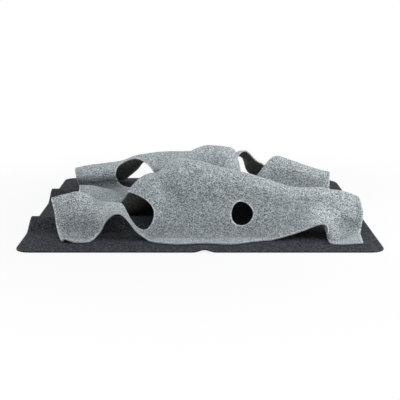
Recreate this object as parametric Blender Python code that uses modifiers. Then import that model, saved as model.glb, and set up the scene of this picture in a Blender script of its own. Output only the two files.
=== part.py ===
"""A cat activity play mat: a rippled felt cover held on a felt base by pads of hook tape.

Metres, +Z up. X runs across the mat, Y from its front edge to its back edge, and the base
rests on z = 0 with its middle at the origin.
"""
import math

import bmesh
import bpy
import numpy as np
from mathutils import Vector

# Driving dimensions
mat_side = 0.990
felt_thickness = 0.004
hook_thickness = 0.0012
piece_gap = 0.0003
crest_height = 0.200
overrun = 0.010

# Base
base_corner_radius = 0.040
base_back_right_radius = 0.100
base_front_ridge_height = 0.029
base_front_ridge_y = -0.225
base_back_ridge_height = 0.031
base_back_ridge_y = 0.155
base_ridge_reach = 0.090
cover_bridge_reach = 0.150
cover_bridge_share = 1.15
base_front_ridge_full_x = -0.130
base_front_ridge_end_x = 0.100
base_back_ridge_full_x = -0.380
base_back_ridge_end_x = -0.240
base_ripple_height = 0.007
base_ripple_x = 0.012
base_ripple_reach = 0.030
base_ripple_end_y = -0.420

# Cover, as cut flat: places from its front left corner
side_hole_width = 0.114
side_hole_length = 0.148
side_hole_lean_share = -0.15
side_hole_place = (0.268, 0.109)
peep_hole_width = 0.065
peep_hole_length = 0.081
peep_hole_lean_share = -0.33
peep_hole_place = (0.602, 0.134)
front_hole_width = 0.110
front_hole_length = 0.130
front_hole_place = (0.112, 0.245)
back_hole_width = 0.156
back_hole_length = 0.170
back_hole_place = (0.224, 0.747)
loop_hole_width = 0.152
loop_hole_length = 0.152
loop_hole_place = (0.645, 0.813)
left_notch_width = 0.095
left_notch_start = 0.205
right_notch_width = 0.115
right_notch_start = 0.740

# Hook pads
hook_pad_length = 0.050
hook_pad_width = 0.020
hook_pad_margin = 0.006
hook_pad_side_margin = 0.015

half_side = mat_side / 2
rest_height = felt_thickness / 2 + hook_thickness + 2 * piece_gap

# The cover's form: rows of points from its front edge to its back edge, each from left to
# right, as shares of half the mat's side, of the same, and of the crest's height. A height
# of 0 lies on the base.
front_edge_shares = (
    (-0.78, -0.83, 0), (-0.62, -0.84, 0), (-0.59, -0.76, 0.03), (-0.56, -0.76, 0.09),
    (-0.54, -0.76, 0.21), (-0.51, -0.76, 0.33), (-0.46, -0.76, 0.40), (-0.43, -0.76, 0.36),
    (-0.39, -0.76, 0.23), (-0.36, -0.77, 0.12), (-0.31, -0.79, 0.03), (-0.25, -0.84, 0),
    (-0.13, -0.88, 0), (0.02, -0.86, 0), (0.17, -0.88, 0), (0.30, -0.82, 0),
    (0.41, -0.79, 0.04), (0.53, -0.78, 0.12), (0.63, -0.77, 0.21), (0.69, -0.76, 0.26),
    (0.725, -0.75, 0.20), (0.72, -0.76, 0.09), (0.715, -0.81, 0), (0.725, -0.88, 0),
    (0.90, -0.86, 0),
)
foot_shares = (
    (-0.82, -0.66, 0.13), (-0.73, -0.66, 0.15), (-0.66, -0.66, 0.16), (-0.61, -0.66, 0.24),
    (-0.56, -0.66, 0.35), (-0.51, -0.66, 0.41), (-0.47, -0.66, 0.42), (-0.43, -0.67, 0.36),
    (-0.39, -0.68, 0.25), (-0.34, -0.69, 0.14), (-0.26, -0.69, 0.09), (-0.13, -0.69, 0.09),
    (0.03, -0.69, 0.10), (0.18, -0.69, 0.09), (0.31, -0.68, 0.10), (0.43, -0.68, 0.16),
    (0.55, -0.67, 0.24), (0.64, -0.67, 0.30), (0.70, -0.66, 0.31), (0.76, -0.65, 0.25),
    (0.82, -0.64, 0.14), (0.87, -0.64, 0.07), (0.92, -0.64, 0.03),
)
face_shares = (
    (-0.84, -0.59, 0.33), (-0.76, -0.59, 0.36), (-0.68, -0.59, 0.38), (-0.62, -0.59, 0.38),
    (-0.57, -0.59, 0.40), (-0.51, -0.59, 0.43), (-0.46, -0.59, 0.44), (-0.42, -0.59, 0.41),
    (-0.35, -0.59, 0.37), (-0.24, -0.58, 0.36), (-0.12, -0.57, 0.37), (0.03, -0.57, 0.40),
    (0.19, -0.57, 0.39), (0.32, -0.57, 0.38), (0.44, -0.57, 0.39), (0.56, -0.57, 0.42),
    (0.67, -0.57, 0.44), (0.75, -0.57, 0.42), (0.84, -0.58, 0.39), (0.94, -0.61, 0.31),
)
front_crest_shares = (
    (-0.87, -0.52, 0.50), (-0.78, -0.51, 0.55), (-0.70, -0.49, 0.58), (-0.67, -0.48, 0.53),
    (-0.62, -0.46, 0.43), (-0.57, -0.44, 0.37), (-0.52, -0.43, 0.37), (-0.48, -0.43, 0.34),
    (-0.44, -0.44, 0.47), (-0.40, -0.44, 0.58), (-0.35, -0.43, 0.68), (-0.31, -0.43, 0.77),
    (-0.24, -0.42, 0.785), (-0.19, -0.41, 0.86), (-0.15, -0.41, 0.92), (-0.08, -0.40, 0.95),
    (0.01, -0.40, 0.95), (0.10, -0.41, 0.89), (0.31, -0.43, 0.78), (0.42, -0.44, 0.70),
    (0.54, -0.45, 0.61), (0.66, -0.46, 0.60), (0.71, -0.46, 0.63), (0.76, -0.47, 0.59),
    (0.85, -0.48, 0.56), (0.92, -0.52, 0.51),
)
dip_shares = (
    (-0.79, -0.46, 0.25), (-0.68, -0.43, 0.25), (-0.57, -0.40, 0.20), (-0.49, -0.39, 0.22),
    (-0.445, -0.38, 0.33), (-0.41, -0.38, 0.48), (-0.375, -0.375, 0.63), (-0.335, -0.37, 0.74),
    (-0.31, -0.365, 0.78), (-0.27, -0.36, 0.755), (-0.24, -0.355, 0.735), (-0.22, -0.33, 0.79),
    (-0.18, -0.28, 0.90), (-0.09, -0.23, 0.93), (0, -0.22, 0.84), (0.10, -0.20, 0.68),
    (0.19, -0.20, 0.60), (0.26, -0.22, 0.50), (0.34, -0.24, 0.42), (0.42, -0.26, 0.36),
    (0.52, -0.28, 0.28), (0.62, -0.29, 0.24), (0.72, -0.30, 0.22), (0.92, -0.33, 0.16),
)
peak_shares = (
    (-0.80, -0.38, 0), (-0.66, -0.34, 0), (-0.53, -0.27, 0.05), (-0.40, -0.24, 0.10),
    (-0.31, -0.22, 0.22), (-0.255, -0.20, 0.44), (-0.22, -0.18, 0.68), (-0.20, -0.16, 0.82),
    (-0.18, -0.14, 0.87), (-0.11, -0.08, 0.91), (-0.06, -0.04, 0.94), (-0.02, 0, 0.98),
    (0.02, 0.04, 1.01), (0.06, 0.06, 1.02), (0.12, 0.06, 1.01), (0.17, 0.06, 1),
    (0.22, 0.06, 0.98), (0.235, 0.04, 0.87), (0.25, 0.02, 0.70), (0.27, 0, 0.50),
    (0.33, -0.04, 0.22), (0.46, -0.06, 0.04), (0.61, -0.08, 0), (0.92, -0.10, 0),
)
valley_shares = (
    (-0.80, 0.16, 0), (-0.51, 0.16, 0.03), (-0.28, 0.18, 0.12), (-0.08, 0.26, 0.30),
    (0.08, 0.29, 0.36), (0.20, 0.28, 0.26), (0.31, 0.24, 0.10), (0.44, 0.22, 0),
    (0.88, 0.20, 0),
)
crease_shares = (
    (-0.85, 0.57, 0.09), (-0.67, 0.57, 0.13), (-0.48, 0.57, 0.19), (-0.30, 0.55, 0.26),
    (-0.13, 0.50, 0.33), (0.05, 0.44, 0.36), (0.22, 0.38, 0.26), (0.36, 0.33, 0.12),
    (0.45, 0.34, 0.20), (0.53, 0.36, 0.28), (0.71, 0.36, 0.22), (0.88, 0.36, 0.16),
)
bulge_shares = (
    (-0.86, 0.50, 0.27), (-0.68, 0.50, 0.32), (-0.49, 0.50, 0.36), (-0.31, 0.50, 0.42),
    (-0.13, 0.49, 0.48), (0.05, 0.48, 0.50), (0.20, 0.45, 0.44), (0.32, 0.42, 0.34),
    (0.39, 0.40, 0.36), (0.44, 0.41, 0.53), (0.515, 0.43, 0.695), (0.59, 0.43, 0.635),
    (0.72, 0.43, 0.53), (0.89, 0.43, 0.40),
)
back_crest_shares = (
    (-0.88, 0.61, 0.39), (-0.74, 0.61, 0.46), (-0.60, 0.61, 0.50), (-0.54, 0.61, 0.53),
    (-0.47, 0.61, 0.60), (-0.41, 0.61, 0.63), (-0.32, 0.61, 0.66), (-0.08, 0.61, 0.68),
    (0.08, 0.61, 0.66), (0.20, 0.61, 0.62), (0.25, 0.61, 0.64), (0.29, 0.61, 0.70),
    (0.32, 0.61, 0.71), (0.37, 0.61, 0.62), (0.42, 0.61, 0.50), (0.46, 0.62, 0.43),
    (0.55, 0.64, 0.28), (0.66, 0.66, 0.12), (0.75, 0.68, 0), (0.92, 0.69, 0),
)
back_slope_shares = (
    (-0.86, 0.74, 0.25), (-0.73, 0.74, 0.27), (-0.57, 0.74, 0.30), (-0.44, 0.74, 0.42),
    (-0.32, 0.72, 0.57), (-0.10, 0.70, 0.62), (0.15, 0.70, 0.62), (0.22, 0.70, 0.58),
    (0.28, 0.71, 0.62), (0.33, 0.73, 0.52), (0.38, 0.75, 0.36), (0.48, 0.77, 0.20),
    (0.61, 0.79, 0.06), (0.77, 0.81, 0), (0.92, 0.81, 0),
)
back_edge_shares = (
    (-0.85, 0.91, 0), (-0.69, 0.91, 0), (-0.58, 0.89, 0.01), (-0.51, 0.88, 0.14),
    (-0.47, 0.87, 0.22), (-0.43, 0.85, 0.34), (-0.41, 0.83, 0.44), (-0.35, 0.81, 0.51),
    (-0.22, 0.78, 0.53), (0.04, 0.77, 0.53), (0.20, 0.78, 0.50), (0.29, 0.80, 0.53),
    (0.31, 0.81, 0.50), (0.32, 0.82, 0.43), (0.33, 0.84, 0.31), (0.35, 0.86, 0.20),
    (0.41, 0.88, 0.13), (0.51, 0.90, 0.04), (0.71, 0.92, 0), (0.92, 0.93, 0),
)
cover_rows = (
    front_edge_shares, foot_shares, face_shares, front_crest_shares, dip_shares, peak_shares,
    valley_shares, crease_shares, bulge_shares, back_crest_shares, back_slope_shares,
    back_edge_shares,
)

# Where the cover's mesh is divided, as shares of its side: closer where it bends more
across_shares = (
    0, 0.075, 0.115, 0.15, 0.185, 0.21, 0.225, 0.255, 0.27, 0.31, 0.34, 0.385, 0.44, 0.495, 0.55,
    0.595, 0.65, 0.705, 0.76, 0.82, 0.85, 0.895, 0.935, 1,
)
along_shares = (
    0, 0.045, 0.1, 0.14, 0.18, 0.225, 0.28, 0.32, 0.355, 0.405, 0.46, 0.525, 0.585,
    0.635, 0.7, 0.74, 0.795, 0.83, 0.87, 0.925, 1,
)
form_steps = 160
curve_steps = 12
ease_passes = 5
large_hole_sides = 20
small_hole_sides = 14


def clear_scene():
    for thing in list(bpy.data.objects):
        bpy.data.objects.remove(thing, do_unlink=True)


def new_collection(name, hidden=False):
    collection = bpy.data.collections.new(name)
    bpy.context.scene.collection.children.link(collection)
    collection.hide_render = hidden
    return collection


def new_material(name, colour, roughness):
    material = bpy.data.materials.new(name)
    material.use_nodes = True
    shader = material.node_tree.nodes["Principled BSDF"]
    shader.inputs["Base Color"].default_value = (*colour, 1)
    shader.inputs["Roughness"].default_value = roughness
    shader.inputs["Metallic"].default_value = 0
    material.diffuse_color = (*colour, 1)
    return material


def base_rise(x, y, reach=base_ridge_reach):
    """How far the base's underside stands above the floor at a place."""
    front = base_front_ridge_height * hump((y - base_front_ridge_y) / reach)
    front *= fade(x, base_front_ridge_full_x, base_front_ridge_end_x)
    back = base_back_ridge_height * hump((y - base_back_ridge_y) / reach)
    back *= fade(x, base_back_ridge_full_x, base_back_ridge_end_x)
    ripple = base_ripple_height * hump((x - base_ripple_x) / base_ripple_reach)
    return front + back + ripple * fade(y, -half_side, base_ripple_end_y)


def swell(share):
    return share * share * (3 - 2 * share)


def fade(place, full, end):
    """1 up to where a shape is full, and 0 from its end on."""
    return swell(min(max((end - place) / (end - full), 0), 1))


def hump(offset):
    """1 at the middle, 0 from one reach away, and level at both."""
    return 1 - swell(min(abs(offset), 1))


def smooth_line(points, count):
    """Points evenly spaced along the smooth curve through the given ones."""
    points = np.array(points, float)
    pace = np.sqrt(np.linalg.norm(np.diff(points, axis=0), axis=1))
    slopes = np.diff(points, axis=0) / pace[:, None]
    inner = slopes[:-1] * pace[1:, None] + slopes[1:] * pace[:-1, None]
    inner /= (pace[1:] + pace[:-1])[:, None]
    tangents = np.vstack([slopes[:1], inner, slopes[-1:]])
    s = np.linspace(0, 1, curve_steps, endpoint=False)[:, None]
    pieces = []
    for i, step in enumerate(pace):
        start = (2 * s ** 3 - 3 * s ** 2 + 1) * points[i]
        end = (3 * s ** 2 - 2 * s ** 3) * points[i + 1]
        leave = (s ** 3 - 2 * s ** 2 + s) * step * tangents[i]
        arrive = (s ** 3 - s ** 2) * step * tangents[i + 1]
        pieces.append(start + end + leave + arrive)
    line = np.vstack([*pieces, points[-1:]])
    run = np.linalg.norm(np.diff(line, axis=0), axis=1)
    length = np.concatenate([[0], np.cumsum(run)])
    even = np.linspace(0, length[-1], count)
    return np.stack([np.interp(even, length, line[:, k]) for k in range(3)], axis=1)


def eased(form):
    """The grid with its kinks taken out, and its outer edges kept in place."""
    for _ in range(ease_passes):
        wide = np.pad(form, ((1, 1), (1, 1), (0, 0)), mode="reflect", reflect_type="odd")
        form = (wide[:-2, 1:-1] + 2 * form + wide[2:, 1:-1]) / 4
        wide = np.pad(form, ((1, 1), (1, 1), (0, 0)), mode="reflect", reflect_type="odd")
        form = (wide[1:-1, :-2] + 2 * form + wide[1:-1, 2:]) / 4
    return form


def cover_form():
    """The middle of the cover's felt as a grid of places, [along][across], and its normals."""
    scale = np.array([half_side, half_side, crest_height])
    rows = [smooth_line(np.array(row) * scale, form_steps) for row in cover_rows]
    columns = [smooth_line(column, form_steps) for column in np.swapaxes(rows, 0, 1)]
    form = eased(np.array(columns).swapaxes(0, 1))
    for row in form:
        for place in row:
            rise = base_rise(place[0], place[1], cover_bridge_reach) * cover_bridge_share
            place[2] = max(place[2], rise + felt_thickness + rest_height)
    along, across = np.gradient(form, axis=0), np.gradient(form, axis=1)
    normals = np.cross(across, along)
    normals /= np.linalg.norm(normals, axis=2)[:, :, None]
    return form, normals


def on_form(grid, x, y):
    """The grid's value at a place given from the flat cover's front left corner."""
    u = min(max(x / mat_side, 0), 1) * (form_steps - 1)
    v = min(max(y / mat_side, 0), 1) * (form_steps - 1)
    i = min(int(u), form_steps - 2)
    j = min(int(v), form_steps - 2)
    near = grid[j][i] * (i + 1 - u) + grid[j][i + 1] * (u - i)
    far = grid[j + 1][i] * (i + 1 - u) + grid[j + 1][i + 1] * (u - i)
    return near * (j + 1 - v) + far * (v - j)


def link_mesh(name, mesh, collection):
    data = bpy.data.meshes.new(name)
    mesh.to_mesh(data)
    mesh.free()
    thing = bpy.data.objects.new(name, data)
    collection.objects.link(thing)
    return thing


def flat_plate(name, lines_x, lines_y, collection):
    """A flat slab whose faces are divided at the given lines."""
    mesh = bmesh.new()
    grid = [[mesh.verts.new((x, y, 0)) for x in lines_x] for y in lines_y]
    for near, far in zip(grid, grid[1:]):
        for i in range(len(lines_x) - 1):
            mesh.faces.new((near[i], near[i + 1], far[i + 1], far[i]))
    top = bmesh.ops.extrude_face_region(mesh, geom=mesh.faces[:])
    risen = [part for part in top["geom"] if isinstance(part, bmesh.types.BMVert)]
    bmesh.ops.translate(mesh, verts=risen, vec=Vector((0, 0, felt_thickness)))
    bmesh.ops.recalc_face_normals(mesh, faces=mesh.faces[:])
    return link_mesh(name, mesh, collection)


def hole_cutter(name, place, width, length, lean, sides, collection):
    """An oval cutter. Its far end leans to the right by a share of its width."""
    mesh = bmesh.new()
    height = felt_thickness + 2 * overrun
    bmesh.ops.create_cone(
        mesh, cap_ends=True, segments=sides, radius1=0.5, radius2=0.5, depth=height,
    )
    for vertex in mesh.verts:
        x, y, z = vertex.co
        vertex.co = ((x + y * lean) * width, y * length, z)
    cutter = link_mesh(name, mesh, collection)
    cutter.location = (*place, felt_thickness / 2)
    return cutter


def notch_cutter(name, low, high, collection):
    mesh = bmesh.new()
    bmesh.ops.create_cube(mesh, size=1)
    height = felt_thickness + 2 * overrun
    size = (high[0] - low[0], high[1] - low[1], height)
    bmesh.ops.scale(mesh, vec=size, verts=mesh.verts[:])
    cutter = link_mesh(name, mesh, collection)
    middle = ((low[0] + high[0]) / 2, (low[1] + high[1]) / 2)
    cutter.location = (*middle, felt_thickness / 2)
    return cutter


def apply_cuts(plate, cutters, operation="DIFFERENCE"):
    for cutter in cutters:
        cutter.display_type = "WIRE"
        cutter.hide_render = True
        boolean = plate.modifiers.new(cutter.name, "BOOLEAN")
        boolean.operation = operation
        boolean.solver = "EXACT"
        boolean.object = cutter
    shown = plate.evaluated_get(bpy.context.evaluated_depsgraph_get())
    cut = bpy.data.meshes.new_from_object(shown)
    plate.modifiers.clear()
    plate.data = cut


def bend(plate, bent, thickness):
    """Bends the flat plate's upper face with a function of its places, and thickens it."""
    mesh = bmesh.new()
    mesh.from_mesh(plate.data)
    middle = felt_thickness / 2
    lower = [face for face in mesh.faces if face.calc_center_median().z < middle * 1.5]
    bmesh.ops.delete(mesh, geom=lower, context="FACES")
    for vertex in mesh.verts:
        vertex.co = bent(vertex.co.x, vertex.co.y)
    mesh.normal_update()
    bmesh.ops.triangulate(
        mesh, faces=mesh.faces[:], quad_method="SHORT_EDGE", ngon_method="BEAUTY",
    )
    mesh.to_mesh(plate.data)
    mesh.free()
    shell = plate.modifiers.new("felt", "SOLIDIFY")
    shell.thickness = thickness
    shell.offset = 0
    shell.use_even_offset = False


def make_base(collection, cutters):
    """The base felt, cut with rounded corners, with two ridges and a ripple at its front."""
    ridge_lines = [
        middle + base_ridge_reach * share
        for middle in (base_front_ridge_y, base_back_ridge_y)
        for share in (-1, -0.6, -0.3, 0, 0.3, 0.6, 1)
    ]
    front_run = base_front_ridge_end_x - base_front_ridge_full_x
    fade_lines = [base_front_ridge_full_x + front_run * share for share in (0, 0.3, 0.5)]
    back_run = base_back_ridge_end_x - base_back_ridge_full_x
    fade_lines += [base_back_ridge_full_x + back_run * share for share in (0, 0.3, 0.6, 1)]
    ripple_lines = [base_ripple_x + base_ripple_reach * share for share in (-1, -0.4, 0, 0.4, 1)]
    reach = half_side + overrun
    lines_x = sorted([-reach, *fade_lines, *ripple_lines, base_front_ridge_end_x, reach])
    middle_y = (base_ripple_end_y - half_side) / 2
    lines_y = sorted([-reach, middle_y, base_ripple_end_y, *ridge_lines, reach])
    base = flat_plate("base_mat", lines_x, lines_y, collection)
    outline = bmesh.new()
    bmesh.ops.create_cube(outline, size=1)
    size = (mat_side, mat_side, felt_thickness + 2 * overrun)
    bmesh.ops.scale(outline, vec=size, verts=outline.verts[:])
    upright = [e for e in outline.edges if abs(e.verts[0].co.z - e.verts[1].co.z) > overrun]
    back_right = [e for e in upright if min(*e.verts[0].co.xy) > 0]
    others = [e for e in upright if e not in back_right]
    for corners, radius in ((others, base_corner_radius), (back_right, base_back_right_radius)):
        bmesh.ops.bevel(
            outline, geom=corners, offset=radius, segments=4, profile=0.5, affect="EDGES",
        )
    cutter = link_mesh("base_outline", outline, cutters)
    apply_cuts(base, [cutter], "INTERSECT")
    bend(base, lambda x, y: (x, y, base_rise(x, y) + felt_thickness / 2), felt_thickness)
    return base


def make_cover(form, collection, cutters):
    """The cover felt: cut flat, then bent to its form and thickened."""
    lines_x = [mat_side * share for share in across_shares]
    lines_y = [mat_side * share for share in along_shares]
    cover = flat_plate("cover_mat", lines_x, lines_y, collection)
    holes = (
        ("side_hole", side_hole_place, side_hole_width, side_hole_length, side_hole_lean_share,
         large_hole_sides),
        ("peep_hole", peep_hole_place, peep_hole_width, peep_hole_length, peep_hole_lean_share,
         small_hole_sides),
        ("front_hole", front_hole_place, front_hole_width, front_hole_length, 0, large_hole_sides),
        ("back_hole", back_hole_place, back_hole_width, back_hole_length, 0, large_hole_sides),
        ("loop_hole", loop_hole_place, loop_hole_width, loop_hole_length, 0, large_hole_sides),
    )
    cuts = [hole_cutter(*hole, cutters) for hole in holes]
    left_low = (-overrun, left_notch_start)
    left_high = (front_hole_place[0], left_notch_start + left_notch_width)
    cuts.append(notch_cutter("left_notch", left_low, left_high, cutters))
    right_low = (loop_hole_place[0], right_notch_start)
    right_high = (mat_side + overrun, right_notch_start + right_notch_width)
    cuts.append(notch_cutter("right_notch", right_low, right_high, cutters))
    apply_cuts(cover, cuts)
    bend(cover, lambda x, y: on_form(form, x, y), felt_thickness)
    return cover


def make_hook_pad(name, place, form, normals, collection):
    """A pad of hook tape under the cover, following the felt that it is sewn to."""
    lines_x = [place[0] + hook_pad_length * share for share in (-0.5, 0, 0.5)]
    lines_y = [place[1] + hook_pad_width * share for share in (-0.5, 0.5)]
    pad = flat_plate(name, lines_x, lines_y, collection)
    drop = felt_thickness / 2 + piece_gap + hook_thickness / 2
    bend(pad, lambda x, y: on_form(form, x, y) - on_form(normals, x, y) * drop, hook_thickness)
    return pad


def hook_pad_places():
    """The middles of the pads on the flat cover, where it lies on the base."""
    near = hook_pad_margin + hook_pad_width / 2
    left = hook_pad_side_margin + hook_pad_length / 2
    far, right = mat_side - near, mat_side - left
    return {
        "hook_pad_front_left": (left, near),
        "hook_pad_front_middle_left": (mat_side * 0.40, near),
        "hook_pad_front_middle_right": (mat_side * 0.58, near),
        "hook_pad_front_right": (right, near),
        "hook_pad_middle_left": (left, mat_side * 0.44),
        "hook_pad_middle_right": (right, mat_side * 0.54),
        "hook_pad_back_left": (left, far),
        "hook_pad_back_right": (right, far),
    }


def main():
    clear_scene()
    parts = new_collection("cat_play_mat")
    cutters = new_collection("cutters", hidden=True)
    base_felt = new_material("charcoal_felt", (0.045, 0.049, 0.054), 0.95)
    cover_felt = new_material("grey_felt", (0.30, 0.33, 0.335), 0.92)
    hook_tape = new_material("hook_tape", (0.03, 0.03, 0.032), 0.6)
    form, normals = cover_form()
    make_base(parts, cutters).data.materials.append(base_felt)
    make_cover(form, parts, cutters).data.materials.append(cover_felt)
    for name, place in hook_pad_places().items():
        make_hook_pad(name, place, form, normals, parts).data.materials.append(hook_tape)


main()
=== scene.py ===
"""A cat activity play mat: a rippled grey felt cover held on a charcoal felt base.

Metres, +Z up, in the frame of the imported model: X runs across the mat, Y from its front edge
to its back edge, and the base lies on z = 0 with its middle at the origin.
"""
import math

import bmesh
import bpy
import numpy as np
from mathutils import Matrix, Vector, kdtree, noise


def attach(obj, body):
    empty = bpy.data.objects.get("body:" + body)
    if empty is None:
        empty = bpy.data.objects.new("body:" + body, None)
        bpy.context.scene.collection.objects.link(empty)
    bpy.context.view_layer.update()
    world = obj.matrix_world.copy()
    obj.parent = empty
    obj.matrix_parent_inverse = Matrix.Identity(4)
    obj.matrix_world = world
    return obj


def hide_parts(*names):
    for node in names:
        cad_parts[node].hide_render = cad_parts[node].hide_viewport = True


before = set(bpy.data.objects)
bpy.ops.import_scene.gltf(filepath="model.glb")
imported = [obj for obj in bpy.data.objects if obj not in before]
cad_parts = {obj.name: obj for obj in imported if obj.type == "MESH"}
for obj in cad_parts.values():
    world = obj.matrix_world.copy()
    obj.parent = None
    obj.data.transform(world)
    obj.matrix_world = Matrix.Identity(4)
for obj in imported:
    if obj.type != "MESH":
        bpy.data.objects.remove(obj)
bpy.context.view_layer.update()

scene = bpy.context.scene

# Camera: low in front of the mat and square to its front edge, looking a little down at it
# from nearly three metres away, so that the ripples stand one behind the other.
camera_place = (0, -2.827, 0.671)
camera_tilt = math.radians(77.26)
focal_length_mm = 82.08
sensor_width_mm = 36
view_reach = 60

camera_data = bpy.data.cameras.new("camera")
camera_data.sensor_width = sensor_width_mm
camera_data.lens = focal_length_mm
camera_data.clip_end = view_reach
camera = bpy.data.objects.new("camera", camera_data)
camera.location = camera_place
camera.rotation_euler = (camera_tilt, 0, 0)
scene.collection.objects.link(camera)
scene.camera = camera
scene.view_settings.view_transform = "Standard"

# Studio floor: a plain white sheet under the mat. It keeps the mat's soft shadow close by and
# turns to clear white further out, for the camera alone, so that no horizon shows.
floor_radius = 15.0
floor_sides = 64
floor_drop = 0.0003
paper_tone = (0.86, 0.86, 0.86, 1)
clear_white = (1, 1, 1, 1)
shadow_radius = 0.45
clear_radius = 1.30
clear_share_at_mat = 0.86


def piece_of(name, mesh):
    """The finished mesh as an object of the scene."""
    data = bpy.data.meshes.new(name)
    mesh.to_mesh(data)
    mesh.free()
    piece = bpy.data.objects.new(name, data)
    scene.collection.objects.link(piece)
    return piece


def fill(graph, node, inputs):
    """Gives each named input of a node its value, or links it to another node's output."""
    for name, value in inputs.items():
        if isinstance(value, bpy.types.NodeSocket):
            graph.links.new(value, node.inputs[name])
        else:
            node.inputs[name].default_value = value


def add_node(graph, kind, inputs=None, operation=None):
    """A new shader node with its inputs filled."""
    node = graph.nodes.new("ShaderNode" + kind)
    if operation:
        node.operation = operation
    fill(graph, node, inputs or {})
    return node


def seen_directly(graph):
    """1 where the camera sees the surface itself or in a gloss, and 0 where it only lights."""
    rays = add_node(graph, "LightPath")
    return add_node(graph, "Math", {
        0: rays.outputs["Is Camera Ray"], 1: rays.outputs["Is Glossy Ray"],
    }, "MAXIMUM").outputs["Value"]


floor_mesh = bmesh.new()
bmesh.ops.create_circle(floor_mesh, cap_ends=True, radius=floor_radius, segments=floor_sides)
floor = piece_of("studio_floor", floor_mesh)
floor.location = (0, 0, -floor_drop)

floor_paper = bpy.data.materials.new("floor_paper")
floor_paper.use_nodes = True
graph = floor_paper.node_tree
graph.nodes.clear()
place = add_node(graph, "TexCoord").outputs["Object"]
from_middle = add_node(graph, "VectorMath", {0: place}, "LENGTH")
clearing = add_node(graph, "MapRange", {
    "Value": from_middle.outputs["Value"], "From Min": shadow_radius,
    "From Max": clear_radius, "To Min": clear_share_at_mat, "To Max": 1,
})
clearing.interpolation_type = "SMOOTHSTEP"
clear_share = add_node(graph, "Math", {
    0: seen_directly(graph), 1: clearing.outputs["Result"],
}, "MULTIPLY")
paper = add_node(graph, "BsdfDiffuse", {"Color": paper_tone})
glow = add_node(graph, "Emission", {"Color": clear_white, "Strength": 1})
both = add_node(graph, "MixShader", {
    "Fac": clear_share.outputs["Value"], 1: paper.outputs["BSDF"], 2: glow.outputs["Emission"],
})
add_node(graph, "OutputMaterial", {"Surface": both.outputs["Shader"]})
floor.data.materials.append(floor_paper)

# Studio light: a soft box close to the mat's right end and a weak low one at its left, in a
# dome of light that is brightest overhead. The camera sees the dome as white.
dome_tint = (0.97, 0.98, 1, 1)
dome_strength_level = 0.13
dome_strength_overhead = 1.05
soft_box_side = 0.6
soft_box_stands = {"soft_box_right": (1.30, -0.50, 0.50), "soft_box_left": (-2.50, -0.50, 0.30)}
soft_box_watts = {"soft_box_right": 7.6, "soft_box_left": 5}


def remapped(graph, value, low, high, start=0, end=1):
    """Turns a value's run from start to end into one from low to high, level beyond both."""
    return add_node(graph, "MapRange", {
        "Value": value, "From Min": start, "From Max": end, "To Min": low, "To Max": high,
    }).outputs["Result"]


world = bpy.data.worlds.new("studio")
world.use_nodes = True
scene.world = world
graph = world.node_tree
graph.nodes.clear()
direction = add_node(graph, "TexCoord").outputs["Generated"]
height = add_node(graph, "SeparateXYZ", {"Vector": direction}).outputs["Z"]
strength = remapped(graph, height, dome_strength_level, dome_strength_overhead)
dome = add_node(graph, "Background", {"Color": dome_tint, "Strength": strength})
white = add_node(graph, "Background", {"Color": clear_white, "Strength": 1})
both = add_node(graph, "MixShader", {
    "Fac": seen_directly(graph), 1: dome.outputs["Background"], 2: white.outputs["Background"],
})
add_node(graph, "OutputWorld", {"Surface": both.outputs["Shader"]})

for name, stand in soft_box_stands.items():
    lamp_data = bpy.data.lights.new(name, "AREA")
    lamp_data.shape = "SQUARE"
    lamp_data.size = soft_box_side
    lamp_data.energy = soft_box_watts[name]
    lamp = bpy.data.objects.new(name, lamp_data)
    lamp.location = stand
    lamp.rotation_euler = (-Vector(stand)).to_track_quat("-Z", "Y").to_euler()
    scene.collection.objects.link(lamp)

# Base mat: a square of 4 mm charcoal needle felt with rounded corners, punched from a roll.
# It lies on the floor, with two soft ridges left at its left side and a ripple at its front.
mat_side = 0.990
half_side = mat_side / 2
felt_thickness = 0.004
felt_cells = 158
cut_edge_round = 0.0009
sharp_edge = math.radians(60)
top_share = 0.9
punch_depth = 0.024
cut_overrun = 0.010
base_corner_radius = 0.040
base_back_right_radius = 0.100
base_corner_steps = 12
base_front_ridge_height = 0.029
base_front_ridge_y = -0.225
base_back_ridge_height = 0.031
base_back_ridge_y = 0.155
base_ridge_reach = 0.090
base_front_ridge_full_x = -0.130
base_front_ridge_end_x = 0.100
base_back_ridge_full_x = -0.380
base_back_ridge_end_x = -0.240
base_ripple_height = 0.007
base_ripple_x = 0.012
base_ripple_reach = 0.030
base_ripple_end_y = -0.420

# The felt's look: how many tufts, flecks, clouds and fibres there are to a metre, how its
# fibres lie (turned by degrees, and as wide as a share of their length), how dark and pale
# each makes it, where its dark, middle and pale fibres show in the mix, how much paler its
# frayed cut edges are (partly real fuzz, partly a painted highlight), and the painted
# highlight on its crests and painted shade in its hollows
tufts_per_metre = 370
flecks_per_metre = 540
fleck_share = 0.25
dark_until, middle_at, pale_from = 0.435, 0.50, 0.565
clouds_per_metre = 75
cloud_tones = (0.84, 1.16)
cloud_span = (0.3, 0.7)
fibres_per_metre = 1250
cut_fibres_per_metre = 1600
fibre_lays = ((25, 0.14), (-38, 0.12), (86, 0.16))
fibre_tones = (0.80, 1.22)
fibre_span = (0.45, 0.75)
# The felt is paler within this width of a cut edge: partly its real frayed fuzz, partly a painted
# highlight
fuzz_and_highlight_edge_width = 0.0065
fuzz_and_highlight_edge_tone = 2.0
# Painted shade in the felt's hollows and a painted highlight on its crests, as tones of its
# colour
painted_hollow_shade_tone, painted_crest_highlight_tone = 0.78, 1.44
palest_tone = (0.88, 0.91, 0.92)
clump_strength = 0.55
nap_strength = 0.6
felt_gloss = 0.15
felt_roughness = (0.82, 1)
sheen_roughness = 0.25
sheen_tint = (0.93, 0.97, 1, 1)


def swell(share):
    """0 up to a share of 0, and 1 from a share of 1 on, with a level start and end."""
    share = min(max(share, 0), 1)
    return share * share * (3 - 2 * share)


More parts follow.
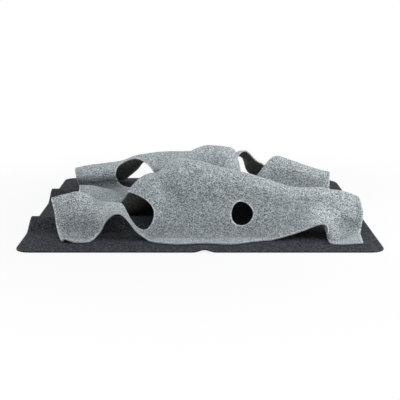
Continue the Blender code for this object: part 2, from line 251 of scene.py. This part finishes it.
def fade(place, full, end):
    """1 up to where a shape is full, and 0 from its end on."""
    return swell((end - place) / (end - full))


def hump(offset):
    """1 at the middle, 0 from one reach away, and level at both."""
    return 1 - swell(abs(offset))


def base_rise(x, y, reach=base_ridge_reach):
    """How far the base's underside stands above the floor at a place."""
    front = base_front_ridge_height * hump((y - base_front_ridge_y) / reach)
    front *= fade(x, base_front_ridge_full_x, base_front_ridge_end_x)
    back = base_back_ridge_height * hump((y - base_back_ridge_y) / reach)
    back *= fade(x, base_back_ridge_full_x, base_back_ridge_end_x)
    ripple = base_ripple_height * hump((x - base_ripple_x) / base_ripple_reach)
    return front + back + ripple * fade(y, -half_side, base_ripple_end_y)


def felt_slab(name, reach):
    """A flat slab of felt, finely divided, with its middle at the origin."""
    slab = bmesh.new()
    bmesh.ops.create_grid(slab, x_segments=felt_cells, y_segments=felt_cells, size=reach)
    raised = bmesh.ops.extrude_face_region(slab, geom=slab.faces[:])
    top = [part for part in raised["geom"] if isinstance(part, bmesh.types.BMVert)]
    bmesh.ops.translate(slab, verts=top, vec=(0, 0, felt_thickness))
    bmesh.ops.recalc_face_normals(slab, faces=slab.faces[:])
    return piece_of(name, slab)


def die_cut(slab, punches, operation="DIFFERENCE"):
    """Cuts the slab with the punches and leaves its top face, as one bmesh."""
    for punch in punches:
        cut = slab.modifiers.new(punch.name, "BOOLEAN")
        cut.operation = operation
        cut.solver = "EXACT"
        cut.object = punch
    cut_slab = slab.evaluated_get(bpy.context.evaluated_depsgraph_get())
    felt = bmesh.new()
    felt.from_mesh(cut_slab.to_mesh())
    for tool in (slab, *punches):
        bpy.data.objects.remove(tool, do_unlink=True)
    top_level = felt_thickness * top_share
    below_top = [face for face in felt.faces if face.calc_center_median().z < top_level]
    bmesh.ops.delete(felt, geom=below_top, context="FACES")
    return felt


def keep_flat_places(mesh):
    """Keeps each point's place on the flat cut as a UV."""
    flat = mesh.loops.layers.uv.new("flat_cut")
    for face in mesh.faces:
        for corner in face.loops:
            corner[flat].uv = corner.vert.co.xy


def measure_from_edge(felt):
    """Keeps how far each point of the flat cut is from a cut edge."""
    from_edge = felt.verts.layers.float.new("from_edge")
    rim = [vert for vert in felt.verts if vert.is_boundary]
    tree = kdtree.KDTree(len(rim))
    for i, vert in enumerate(rim):
        tree.insert(vert.co, i)
    tree.balance()
    for vert in felt.verts:
        vert[from_edge] = tree.find(vert.co)[2]


def thick_felt(felt, top, underside, cut_edge):
    """Gives the felt its thickness, the soft round of its cut edges, and a look for each side."""
    shell = felt.modifiers.new("thickness", "SOLIDIFY")
    shell.thickness = felt_thickness
    shell.offset = 0
    shell.use_even_offset = False
    shell.use_rim = True
    shell.material_offset = 1
    shell.material_offset_rim = 2
    soft = felt.modifiers.new("soft_edge", "BEVEL")
    soft.width = cut_edge_round
    soft.segments = 2
    soft.limit_method = "ANGLE"
    soft.angle_limit = sharp_edge
    soft.harden_normals = False
    felt.data.shade_smooth()
    for look in (top, underside, cut_edge):
        felt.data.materials.append(look)


def toned(graph, colour, tone):
    """A colour times a tone."""
    return add_node(graph, "VectorMath", {0: colour, "Scale": tone}, "SCALE").outputs["Vector"]


def cut_fibres(graph, place):
    """The ends of the felt's fibres where it is cut."""
    return add_node(graph, "TexNoise", {
        "Vector": place, "Scale": cut_fibres_per_metre, "Detail": 3,
    }).outputs["Fac"]


def lying_fibres(graph):
    """The felt's fibres as they lie in its face, some over others."""
    flat = add_node(graph, "UVMap")
    flat.uv_map = "flat_cut"
    fibres = 0
    for turn, width_share in fibre_lays:
        lay = add_node(graph, "Mapping", {
            "Vector": flat.outputs["UV"], "Rotation": (0, 0, math.radians(turn)),
            "Scale": (1, width_share, 1),
        })
        strands = add_node(graph, "TexNoise", {
            "Vector": lay.outputs["Vector"], "Scale": fibres_per_metre, "Detail": 2,
        })
        fibres = add_node(graph, "Math", {
            0: fibres, 1: strands.outputs["Fac"],
        }, "MAXIMUM").outputs["Value"]
    return fibres


def colour_with_fray_and_painted_light(graph, colour):
    """The felt's colour, paler at its frayed cut edges (partly real fuzz, partly a painted
    highlight), with a painted highlight on its crests and painted shade in its hollows.
    """
    from_edge = add_node(graph, "Attribute")
    from_edge.attribute_name = "from_edge"
    crest = add_node(graph, "Attribute")
    crest.attribute_name = "crest"
    # The crest share paints a highlight on the crests and shade in the hollows into the colour
    fray_and_painted_light = add_node(graph, "Math", {
        0: remapped(graph, from_edge.outputs["Fac"], fuzz_and_highlight_edge_tone, 1, end=fuzz_and_highlight_edge_width),
        1: remapped(graph, crest.outputs["Fac"], painted_hollow_shade_tone, painted_crest_highlight_tone, start=-1),
    }, "MULTIPLY")
    frayed_and_painted_colour = toned(graph, colour, fray_and_painted_light.outputs["Value"])
    return add_node(graph, "VectorMath", {0: frayed_and_painted_colour, 1: palest_tone}, "MINIMUM").outputs["Vector"]


def needle_felt(name, dark, middle, pale, fibre_lift, sheen, cut_edge=False):
    """Needle felt: a mix of dark and pale fibres, mottled, with a matt fibrous nap."""
    material = bpy.data.materials.new(name)
    material.use_nodes = True
    graph = material.node_tree
    place = add_node(graph, "TexCoord").outputs["Object"]

    tufts = add_node(graph, "TexNoise", {
        "Vector": place, "Scale": tufts_per_metre, "Detail": 2, "Roughness": 0.5,
        "Distortion": 0.3,
    }).outputs["Fac"]
    flecks = add_node(graph, "TexNoise", {
        "Vector": place, "Scale": flecks_per_metre, "Detail": 3, "Roughness": 0.7,
    }).outputs["Fac"]
    heather = add_node(graph, "Mix", {"Factor": fleck_share, "A": tufts, "B": flecks})
    blend = add_node(graph, "ValToRGB", {"Fac": heather.outputs["Result"]})
    dark_end, pale_end = blend.color_ramp.elements
    dark_end.position = dark_until
    dark_end.color = (*dark, 1)
    pale_end.position = pale_from
    pale_end.color = (*pale, 1)
    half_way = blend.color_ramp.elements.new(middle_at)
    half_way.color = (*middle, 1)

    clouds = add_node(graph, "TexNoise", {
        "Vector": place, "Scale": clouds_per_metre, "Detail": 5, "Roughness": 0.6,
    }).outputs["Fac"]
    cloud_tone = remapped(graph, clouds, *cloud_tones, *cloud_span)
    colour = toned(graph, blend.outputs["Color"], cloud_tone)
    fibres = cut_fibres(graph, place) if cut_edge else lying_fibres(graph)
    fibre_tone = remapped(graph, fibres, *fibre_tones, *fibre_span)
    colour = toned(graph, colour, fibre_tone)
    if not cut_edge:
        colour = colour_with_fray_and_painted_light(graph, colour)

    clumps = add_node(graph, "Bump", {
        "Height": flecks, "Strength": clump_strength, "Distance": fibre_lift * 2,
    })
    nap = add_node(graph, "Bump", {
        "Height": fibres, "Strength": nap_strength, "Distance": fibre_lift,
        "Normal": clumps.outputs["Normal"],
    })
    fill(graph, graph.nodes["Principled BSDF"], {
        "Base Color": colour, "Roughness": remapped(graph, flecks, *felt_roughness),
        "Normal": nap.outputs["Normal"], "Specular IOR Level": felt_gloss,
        "Sheen Weight": sheen, "Sheen Roughness": sheen_roughness, "Sheen Tint": sheen_tint,
    })
    return material


base_slab = felt_slab("base_slab", half_side + cut_overrun)
outline = bmesh.new()
bmesh.ops.create_cube(outline, size=1)
bmesh.ops.scale(outline, vec=(mat_side, mat_side, punch_depth), verts=outline.verts[:])
upright = [edge for edge in outline.edges if edge.verts[0].co.xy == edge.verts[1].co.xy]
back_right = [edge for edge in upright if min(*edge.verts[0].co.xy) > 0]
others = [edge for edge in upright if edge not in back_right]
for corners, radius in ((others, base_corner_radius), (back_right, base_back_right_radius)):
    bmesh.ops.bevel(
        outline, geom=corners, offset=radius, segments=base_corner_steps, profile=0.5,
        affect="EDGES",
    )
base_felt = die_cut(base_slab, [piece_of("base_outline", outline)], "INTERSECT")
base_area = sum(face.calc_area() for face in base_felt.faces)
keep_flat_places(base_felt)
measure_from_edge(base_felt)
for vert in base_felt.verts:
    vert.co.z = base_rise(vert.co.x, vert.co.y) + felt_thickness / 2
base = piece_of("base_felt", base_felt)
charcoal_felt = needle_felt(
    "charcoal_felt", dark=(0.004, 0.005, 0.006), middle=(0.012, 0.014, 0.017),
    pale=(0.082, 0.090, 0.103), fibre_lift=0.0005, sheen=0.1,
)
charcoal_edge = needle_felt(
    "charcoal_cut_edge", dark=(0.010, 0.012, 0.014), middle=(0.026, 0.029, 0.034),
    pale=(0.065, 0.071, 0.080), fibre_lift=0.0007, sheen=0.15, cut_edge=True,
)
thick_felt(base, top=charcoal_felt, underside=charcoal_felt, cut_edge=charcoal_edge)
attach(base, "base")
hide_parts("base_mat")

# Cover: a second square of 4 mm needle felt, light grey with dark flecks, die cut flat with
# five round holes and a notch at each side. It is pushed together on the base by hand, so
# that it stands in ripples, an arch at its front and a loop and a flap at its back.
hook_thickness = 0.0012
piece_gap = 0.0003
crest_height = 0.200
cover_bridge_reach = 0.150
cover_bridge_share = 1.15
rest_height = felt_thickness / 2 + hook_thickness + 2 * piece_gap
side_hole_width = 0.114
side_hole_length = 0.148
side_hole_lean_share = -0.15
side_hole_place = (0.268, 0.109)
peep_hole_width = 0.065
peep_hole_length = 0.081
peep_hole_lean_share = -0.33
peep_hole_place = (0.602, 0.134)
front_hole_width = 0.110
front_hole_length = 0.130
front_hole_place = (0.112, 0.245)
back_hole_width = 0.156
back_hole_length = 0.170
back_hole_place = (0.224, 0.747)
loop_hole_width = 0.152
loop_hole_length = 0.152
loop_hole_place = (0.645, 0.813)
left_notch_width = 0.095
left_notch_start = 0.205
right_notch_width = 0.115
right_notch_start = 0.740

# Rows of places along the bent cover, from its front edge to its back edge, each from left
# to right, as shares of half the mat's side, of the same, and of the crest's height. A
# height of 0 lies on the base.
front_edge = (
    (-0.765, -0.83, 0), (-0.62, -0.84, 0), (-0.59, -0.76, 0.05), (-0.56, -0.76, 0.12),
    (-0.54, -0.76, 0.24), (-0.51, -0.76, 0.34), (-0.46, -0.76, 0.41), (-0.43, -0.76, 0.37),
    (-0.39, -0.76, 0.25), (-0.36, -0.77, 0.15), (-0.31, -0.79, 0.07), (-0.25, -0.84, 0.01),
    (-0.13, -0.88, 0), (0.02, -0.86, 0), (0.17, -0.88, 0), (0.30, -0.82, 0),
    (0.41, -0.79, 0.04), (0.53, -0.78, 0.12), (0.63, -0.77, 0.21), (0.69, -0.76, 0.26),
    (0.725, -0.75, 0.20), (0.72, -0.76, 0.09), (0.715, -0.81, 0), (0.725, -0.88, 0),
    (0.90, -0.86, 0),
)
foot = (
    (-0.82, -0.66, 0.13), (-0.73, -0.66, 0.15), (-0.66, -0.66, 0.16), (-0.61, -0.66, 0.24),
    (-0.56, -0.66, 0.35), (-0.51, -0.66, 0.41), (-0.47, -0.66, 0.42), (-0.43, -0.67, 0.36),
    (-0.39, -0.68, 0.25), (-0.34, -0.69, 0.14), (-0.26, -0.69, 0.09), (-0.13, -0.69, 0.09),
    (0.03, -0.69, 0.10), (0.18, -0.69, 0.09), (0.31, -0.68, 0.10), (0.43, -0.68, 0.16),
    (0.55, -0.67, 0.24), (0.64, -0.67, 0.30), (0.70, -0.66, 0.31), (0.76, -0.65, 0.25),
    (0.82, -0.64, 0.14), (0.87, -0.64, 0.07), (0.92, -0.64, 0.03),
)
face = (
    (-0.84, -0.59, 0.33), (-0.76, -0.59, 0.36), (-0.68, -0.59, 0.38), (-0.62, -0.59, 0.38),
    (-0.57, -0.59, 0.40), (-0.51, -0.59, 0.43), (-0.46, -0.59, 0.44), (-0.42, -0.59, 0.41),
    (-0.35, -0.59, 0.37), (-0.24, -0.58, 0.36), (-0.12, -0.57, 0.37), (0.03, -0.57, 0.40),
    (0.19, -0.57, 0.39), (0.32, -0.57, 0.38), (0.44, -0.57, 0.39), (0.56, -0.57, 0.42),
    (0.67, -0.57, 0.44), (0.75, -0.57, 0.42), (0.84, -0.58, 0.39), (0.94, -0.61, 0.31),
)
front_crest = (
    (-0.87, -0.52, 0.50), (-0.78, -0.51, 0.55), (-0.70, -0.49, 0.58), (-0.67, -0.48, 0.53),
    (-0.62, -0.46, 0.43), (-0.57, -0.44, 0.37), (-0.52, -0.43, 0.37), (-0.48, -0.43, 0.34),
    (-0.44, -0.44, 0.47), (-0.40, -0.44, 0.58), (-0.35, -0.43, 0.68), (-0.31, -0.43, 0.77),
    (-0.24, -0.42, 0.785), (-0.19, -0.41, 0.86), (-0.15, -0.41, 0.92), (-0.08, -0.40, 0.95),
    (0.01, -0.40, 0.95), (0.10, -0.41, 0.89), (0.31, -0.43, 0.78), (0.42, -0.44, 0.70),
    (0.54, -0.45, 0.61), (0.66, -0.46, 0.60), (0.71, -0.46, 0.63), (0.76, -0.47, 0.59),
    (0.85, -0.48, 0.56), (0.92, -0.52, 0.51),
)
dip = (
    (-0.79, -0.46, 0.25), (-0.68, -0.43, 0.25), (-0.57, -0.40, 0.20), (-0.49, -0.39, 0.22),
    (-0.445, -0.38, 0.33), (-0.41, -0.38, 0.48), (-0.375, -0.375, 0.63), (-0.335, -0.37, 0.74),
    (-0.31, -0.365, 0.78), (-0.27, -0.36, 0.755), (-0.24, -0.355, 0.735), (-0.22, -0.33, 0.79),
    (-0.18, -0.28, 0.90), (-0.09, -0.23, 0.93), (0, -0.22, 0.84), (0.10, -0.20, 0.68),
    (0.19, -0.20, 0.60), (0.26, -0.22, 0.50), (0.34, -0.24, 0.42), (0.42, -0.26, 0.36),
    (0.52, -0.28, 0.28), (0.62, -0.29, 0.24), (0.72, -0.30, 0.22), (0.92, -0.33, 0.16),
)
peak = (
    (-0.80, -0.38, 0), (-0.66, -0.34, 0), (-0.53, -0.27, 0.05), (-0.40, -0.24, 0.10),
    (-0.31, -0.22, 0.22), (-0.255, -0.20, 0.44), (-0.22, -0.18, 0.68), (-0.20, -0.16, 0.82),
    (-0.18, -0.14, 0.87), (-0.11, -0.08, 0.91), (-0.06, -0.04, 0.94), (-0.02, 0, 0.98),
    (0.02, 0.04, 1.01), (0.06, 0.06, 1.02), (0.12, 0.06, 1.01), (0.17, 0.06, 1),
    (0.22, 0.06, 0.98), (0.235, 0.04, 0.87), (0.25, 0.02, 0.70), (0.27, 0, 0.50),
    (0.33, -0.04, 0.22), (0.46, -0.06, 0.04), (0.61, -0.08, 0), (0.92, -0.10, 0),
)
valley = (
    (-0.80, 0.16, 0), (-0.51, 0.16, 0.03), (-0.28, 0.18, 0.12), (-0.08, 0.26, 0.30),
    (0.08, 0.29, 0.36), (0.20, 0.28, 0.26), (0.31, 0.24, 0.10), (0.44, 0.22, 0),
    (0.88, 0.20, 0),
)
crease = (
    (-0.85, 0.57, 0.09), (-0.67, 0.57, 0.13), (-0.48, 0.57, 0.19), (-0.30, 0.55, 0.26),
    (-0.13, 0.50, 0.33), (0.05, 0.44, 0.36), (0.22, 0.38, 0.26), (0.36, 0.33, 0.12),
    (0.45, 0.34, 0.20), (0.53, 0.36, 0.28), (0.71, 0.36, 0.22), (0.88, 0.36, 0.16),
)
bulge = (
    (-0.86, 0.50, 0.27), (-0.68, 0.50, 0.32), (-0.49, 0.50, 0.36), (-0.31, 0.50, 0.42),
    (-0.13, 0.49, 0.48), (0.05, 0.48, 0.50), (0.20, 0.45, 0.44), (0.32, 0.42, 0.34),
    (0.39, 0.40, 0.36), (0.44, 0.41, 0.53), (0.515, 0.43, 0.695), (0.59, 0.43, 0.635),
    (0.72, 0.43, 0.53), (0.89, 0.43, 0.40),
)
back_crest = (
    (-0.88, 0.61, 0.39), (-0.74, 0.61, 0.46), (-0.60, 0.61, 0.50), (-0.54, 0.61, 0.53),
    (-0.47, 0.61, 0.60), (-0.41, 0.61, 0.63), (-0.32, 0.61, 0.66), (-0.08, 0.61, 0.68),
    (0.08, 0.61, 0.66), (0.20, 0.61, 0.62), (0.25, 0.61, 0.64), (0.29, 0.61, 0.70),
    (0.32, 0.61, 0.71), (0.37, 0.61, 0.62), (0.42, 0.61, 0.50), (0.46, 0.62, 0.43),
    (0.55, 0.64, 0.28), (0.66, 0.66, 0.12), (0.75, 0.68, 0), (0.92, 0.69, 0),
)
back_slope = (
    (-0.86, 0.74, 0.25), (-0.73, 0.74, 0.27), (-0.57, 0.74, 0.30), (-0.44, 0.74, 0.42),
    (-0.32, 0.72, 0.57), (-0.10, 0.70, 0.62), (0.15, 0.70, 0.62), (0.22, 0.70, 0.58),
    (0.28, 0.71, 0.62), (0.33, 0.73, 0.52), (0.38, 0.75, 0.36), (0.48, 0.77, 0.20),
    (0.61, 0.79, 0.06), (0.77, 0.81, 0), (0.92, 0.81, 0),
)
back_edge = (
    (-0.85, 0.91, 0), (-0.69, 0.91, 0), (-0.58, 0.89, 0.01), (-0.51, 0.88, 0.14),
    (-0.47, 0.87, 0.22), (-0.43, 0.85, 0.34), (-0.41, 0.83, 0.44), (-0.35, 0.81, 0.51),
    (-0.22, 0.78, 0.53), (0.04, 0.77, 0.53), (0.20, 0.78, 0.50), (0.29, 0.80, 0.53),
    (0.31, 0.81, 0.50), (0.32, 0.82, 0.43), (0.33, 0.84, 0.31), (0.35, 0.86, 0.20),
    (0.41, 0.88, 0.13), (0.51, 0.90, 0.04), (0.71, 0.92, 0), (0.92, 0.93, 0),
)
cover_rows = (
    front_edge, foot, face, front_crest, dip, peak, valley, crease, bulge, back_crest,
    back_slope, back_edge,
)

# How finely the form is divided and eased, what counts as a crest, how the front left corner
# stands off the base, and the soft dents in the felt, each octave half the size of the last
form_steps = 240
stretch_steps = 12
ease_passes = 12
hole_sides = 72
crest_passes = 3
crest_bulge = 0.0022
crest_margin = 0.030
corner_lift = 0.008
corner_lift_reach = 0.034
corner_tip = 0.007
dent_depth = 0.0016
dent_spacing = 0.075
dent_octaves = 3
dent_octave_fade = 1.0
dent_octave_step = 2.0
dent_start_height = 0.020
dent_full_height = 0.060


def smooth_line(points, count):
    """Points evenly spaced along the smooth curve through the given ones."""
    points = np.array(points, float)
    pace = np.sqrt(np.linalg.norm(np.diff(points, axis=0), axis=1))
    slopes = np.diff(points, axis=0) / pace[:, None]
    inner = slopes[:-1] * pace[1:, None] + slopes[1:] * pace[:-1, None]
    inner /= (pace[1:] + pace[:-1])[:, None]
    tangents = np.vstack([slopes[:1], inner, slopes[-1:]])
    s = np.linspace(0, 1, stretch_steps, endpoint=False)[:, None]
    stretches = []
    for i, step in enumerate(pace):
        start = (2 * s ** 3 - 3 * s ** 2 + 1) * points[i]
        end = (3 * s ** 2 - 2 * s ** 3) * points[i + 1]
        leave = (s ** 3 - 2 * s ** 2 + s) * step * tangents[i]
        arrive = (s ** 3 - s ** 2) * step * tangents[i + 1]
        stretches.append(start + end + leave + arrive)
    line = np.vstack([*stretches, points[-1:]])
    run = np.linalg.norm(np.diff(line, axis=0), axis=1)
    length = np.concatenate([[0], np.cumsum(run)])
    even = np.linspace(0, length[-1], count)
    return np.stack([np.interp(even, length, line[:, k]) for k in range(3)], axis=1)


def eased(form):
    """The grid with its kinks taken out, and its outer edges kept in place."""
    for _ in range(ease_passes):
        wide = np.pad(form, ((1, 1), (1, 1), (0, 0)), mode="reflect", reflect_type="odd")
        form = (wide[:-2, 1:-1] + 2 * form + wide[2:, 1:-1]) / 4
        wide = np.pad(form, ((1, 1), (1, 1), (0, 0)), mode="reflect", reflect_type="odd")
        form = (wide[1:-1, :-2] + 2 * form + wide[1:-1, 2:]) / 4
    return form


def normals_of(form):
    """The way out of the felt's upper face at each place of the grid."""
    along, across = np.gradient(form, axis=0), np.gradient(form, axis=1)
    normals = np.cross(across, along)
    return normals / np.linalg.norm(normals, axis=2)[:, :, None]


def cover_form():
    """The middle of the cover's felt as a grid of places, [along][across]."""
    scale = np.array([half_side, half_side, crest_height])
    rows = [smooth_line(np.array(row) * scale, form_steps) for row in cover_rows]
    columns = [smooth_line(column, form_steps) for column in np.swapaxes(rows, 0, 1)]
    form = eased(np.array(columns).swapaxes(0, 1))
    for row in form:
        for place in row:
            rise = base_rise(place[0], place[1], cover_bridge_reach) * cover_bridge_share
            place[2] = max(place[2], rise + felt_thickness + rest_height)
    return form


def dent(form):
    """Presses soft dents into the felt where it stands free of the base."""
    normals = normals_of(form)
    for j, row in enumerate(form):
        for i, place in enumerate(row):
            free = 1 - fade(place[2], dent_start_height, dent_full_height)
            cut_place = Vector((i, j, 0)) * mat_side / form_steps / dent_spacing
            push = noise.fractal(cut_place, dent_octave_fade, dent_octave_step, dent_octaves)
            place += normals[j][i] * push * dent_depth * free


def crest_share(form, normals):
    """How much the felt bulges outward at each place, from -1 in hollows to 1 on crests."""
    wide = form
    for _ in range(crest_passes):
        wide = eased(wide)
    bulge = np.sum((form - wide) * normals, axis=2)
    return np.clip(bulge / crest_bulge, -1, 1)


def on_form(grid, x, y):
    """The grid's value at a place given from the flat cover's front left corner."""
    u = min(max(x / mat_side, 0), 1) * (form_steps - 1)
    v = min(max(y / mat_side, 0), 1) * (form_steps - 1)
    i = min(int(u), form_steps - 2)
    j = min(int(v), form_steps - 2)
    near = grid[j][i] * (i + 1 - u) + grid[j][i + 1] * (u - i)
    far = grid[j + 1][i] * (i + 1 - u) + grid[j + 1][i + 1] * (u - i)
    return near * (j + 1 - v) + far * (v - j)


def round_punch(name, place, width, length, lean=0):
    """An oval punch. Its far end leans to the right by a share of its width."""
    punch = bmesh.new()
    bmesh.ops.create_cone(
        punch, cap_ends=True, segments=hole_sides, radius1=0.5, radius2=0.5, depth=punch_depth,
    )
    for vert in punch.verts:
        x, y, z = vert.co
        vert.co = ((x + y * lean) * width, y * length, z)
    middle = Vector((place[0] - half_side, place[1] - half_side, felt_thickness / 2))
    bmesh.ops.translate(punch, verts=punch.verts[:], vec=middle)
    return piece_of(name, punch)


def square_punch(name, low, high):
    """A square punch between two corners given from the flat cover's front left corner."""
    punch = bmesh.new()
    bmesh.ops.create_cube(punch, size=1)
    size = (high[0] - low[0], high[1] - low[1], punch_depth)
    bmesh.ops.scale(punch, vec=size, verts=punch.verts[:])
    middle = Vector(((low[0] + high[0]) / 2, (low[1] + high[1]) / 2, felt_thickness / 2))
    middle -= Vector((half_side, half_side, 0))
    bmesh.ops.translate(punch, verts=punch.verts[:], vec=middle)
    return piece_of(name, punch)


cover_slab = felt_slab("cover_slab", half_side)
left_notch_end = left_notch_start + left_notch_width
right_notch_end = right_notch_start + right_notch_width
cover_felt = die_cut(cover_slab, [
    round_punch(
        "side_hole", side_hole_place, side_hole_width, side_hole_length, side_hole_lean_share,
    ),
    round_punch(
        "peep_hole", peep_hole_place, peep_hole_width, peep_hole_length, peep_hole_lean_share,
    ),
    round_punch("front_hole", front_hole_place, front_hole_width, front_hole_length),
    round_punch("back_hole", back_hole_place, back_hole_width, back_hole_length),
    round_punch("loop_hole", loop_hole_place, loop_hole_width, loop_hole_length),
    square_punch(
        "left_notch", (-cut_overrun, left_notch_start), (front_hole_place[0], left_notch_end),
    ),
    square_punch(
        "right_notch", (loop_hole_place[0], right_notch_start),
        (mat_side + cut_overrun, right_notch_end),
    ),
])
cover_area = sum(face.calc_area() for face in cover_felt.faces)
keep_flat_places(cover_felt)
measure_from_edge(cover_felt)
form = cover_form()
dent(form)
normals = normals_of(form)
# The crest share is kept on each point to paint a highlight on the crests and shade in the
# hollows of the grey felt's colour
crests = crest_share(form, normals)
crest = cover_felt.verts.layers.float.new("crest")
for vert in cover_felt.verts:
    x, y = vert.co.x + half_side, vert.co.y + half_side
    inward = min(x, y, mat_side - x, mat_side - y)
    vert[crest] = on_form(crests, x, y) * swell(inward / crest_margin)
    vert.co = on_form(form, x, y)
    lifted = swell(x / corner_tip) * fade(x, corner_tip, corner_lift_reach)
    vert.co.z += corner_lift * lifted * fade(y, 0, corner_lift_reach)
cover = piece_of("cover_felt", cover_felt)
grey_felt = needle_felt(
    "grey_felt", dark=(0.095, 0.112, 0.117), middle=(0.30, 0.335, 0.345),
    pale=(0.56, 0.605, 0.615), fibre_lift=0.0005, sheen=1.0,
)
# The cut edge is much paler than the top felt: partly its real fuzz, partly a painted highlight
grey_edge = needle_felt(
    "grey_cut_edge", dark=(0.46, 0.49, 0.50), middle=(0.70, 0.74, 0.75),
    pale=(0.86, 0.88, 0.89), fibre_lift=0.0006, sheen=0.6, cut_edge=True,
)
grey_underside = needle_felt(
    "grey_underside", dark=(0.13, 0.132, 0.118), middle=(0.33, 0.332, 0.302),
    pale=(0.56, 0.562, 0.52), fibre_lift=0.0005, sheen=0.2,
)
thick_felt(cover, top=grey_felt, underside=grey_underside, cut_edge=grey_edge)
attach(cover, "cover")
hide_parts("cover_mat")

# Hook pads: eight short strips of black hook tape sewn under the cover where it lies on the
# base. Each is a woven tape set with rows of small bent hooks, which grip the base's felt.
hook_pad_length = 0.050
hook_pad_width = 0.020
hook_pad_margin = 0.006
hook_pad_side_margin = 0.015
hook_pad_front_middle_left_share = 0.40
hook_pad_front_middle_right_share = 0.58
hook_pad_middle_left_share = 0.44
hook_pad_middle_right_share = 0.54
tape_thickness = 0.0005
tape_border = 0.002
tape_cells_long = 20
tape_cells_wide = 8
threads_per_metre = 420
thread_wander = 0.6
thread_roughness = (0.65, 0.45)
thread_strength = 0.7
thread_rise = 0.0002
hook_height = hook_thickness - tape_thickness
hook_spacing = 0.0025
hook_sides = 5
hook_tip_radius = 0.00012
hook_root_radius = 0.00022
hook_root_depth = 0.00005
hook_bend = 0.0004


def weave(graph, place, bands):
    """The threads of a weave that run one way."""
    wave = add_node(graph, "TexWave", {
        "Vector": place, "Scale": threads_per_metre, "Distortion": thread_wander,
    })
    wave.bands_direction = bands
    return wave.outputs["Fac"]


def hook_strip():
    """A flat strip of hook tape with its middle at the origin and its hooks down."""
    tape = bmesh.new()
    bmesh.ops.create_grid(tape, x_segments=tape_cells_long, y_segments=tape_cells_wide, size=0.5)
    size = (hook_pad_length, hook_pad_width, 1)
    bmesh.ops.scale(tape, vec=size, verts=tape.verts[:])
    keep_flat_places(tape)
    bmesh.ops.solidify(tape, geom=tape.faces[:], thickness=tape_thickness)
    bmesh.ops.recalc_face_normals(tape, faces=tape.faces[:])
    lowest = min(vert.co.z for vert in tape.verts)
    bmesh.ops.translate(tape, verts=tape.verts[:], vec=(0, 0, -lowest))
    columns = int((hook_pad_length - 2 * tape_border) / hook_spacing)
    rows = int((hook_pad_width - 2 * tape_border) / hook_spacing)
    for row in range(rows + 1):
        for column in range(columns + 1):
            x = (column - columns / 2) * hook_spacing
            y = (row - rows / 2) * hook_spacing
            stem = bmesh.ops.create_cone(
                tape, cap_ends=True, segments=hook_sides, radius1=hook_tip_radius,
                radius2=hook_root_radius, depth=hook_height,
            )["verts"]
            tip = [vert for vert in stem if vert.co.z < 0]
            bmesh.ops.translate(tape, verts=tip, vec=(hook_bend * (-1) ** row, 0, 0))
            middle = (x, y, hook_root_depth - hook_height / 2)
            bmesh.ops.translate(tape, verts=stem, vec=middle)
    return tape


hook_tape = bpy.data.materials.new("hook_tape")
hook_tape.use_nodes = True
graph = hook_tape.node_tree
flat = add_node(graph, "UVMap")
flat.uv_map = "flat_cut"
threads = add_node(graph, "Math", {
    0: weave(graph, flat.outputs["UV"], "X"), 1: weave(graph, flat.outputs["UV"], "Y"),
}, "MAXIMUM").outputs["Value"]
thread_colour = add_node(graph, "ValToRGB", {"Fac": threads})
thread_colour.color_ramp.elements[0].color = (0.012, 0.012, 0.013, 1)
thread_colour.color_ramp.elements[1].color = (0.045, 0.045, 0.048, 1)
thread_bump = add_node(graph, "Bump", {
    "Height": threads, "Strength": thread_strength, "Distance": thread_rise,
})
fill(graph, graph.nodes["Principled BSDF"], {
    "Base Color": thread_colour.outputs["Color"],
    "Roughness": remapped(graph, threads, *thread_roughness),
    "Normal": thread_bump.outputs["Normal"], "Sheen Weight": 0.1,
})

near = hook_pad_margin + hook_pad_width / 2
left = hook_pad_side_margin + hook_pad_length / 2
far, right = mat_side - near, mat_side - left
hook_pad_places = {
    "hook_pad_front_left": (left, near),
    "hook_pad_front_middle_left": (mat_side * hook_pad_front_middle_left_share, near),
    "hook_pad_front_middle_right": (mat_side * hook_pad_front_middle_right_share, near),
    "hook_pad_front_right": (right, near),
    "hook_pad_middle_left": (left, mat_side * hook_pad_middle_left_share),
    "hook_pad_middle_right": (right, mat_side * hook_pad_middle_right_share),
    "hook_pad_back_left": (left, far),
    "hook_pad_back_right": (right, far),
}
for name, place in hook_pad_places.items():
    tape = hook_strip()
    for vert in tape.verts:
        x, y, z = place[0] + vert.co.x, place[1] + vert.co.y, vert.co.z
        drop = felt_thickness / 2 + piece_gap + tape_thickness - z
        vert.co = on_form(form, x, y) - on_form(normals, x, y) * drop
    pad = piece_of(name + "_tape", tape)
    pad.data.materials.append(hook_tape)
    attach(pad, "cover")
    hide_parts(name)
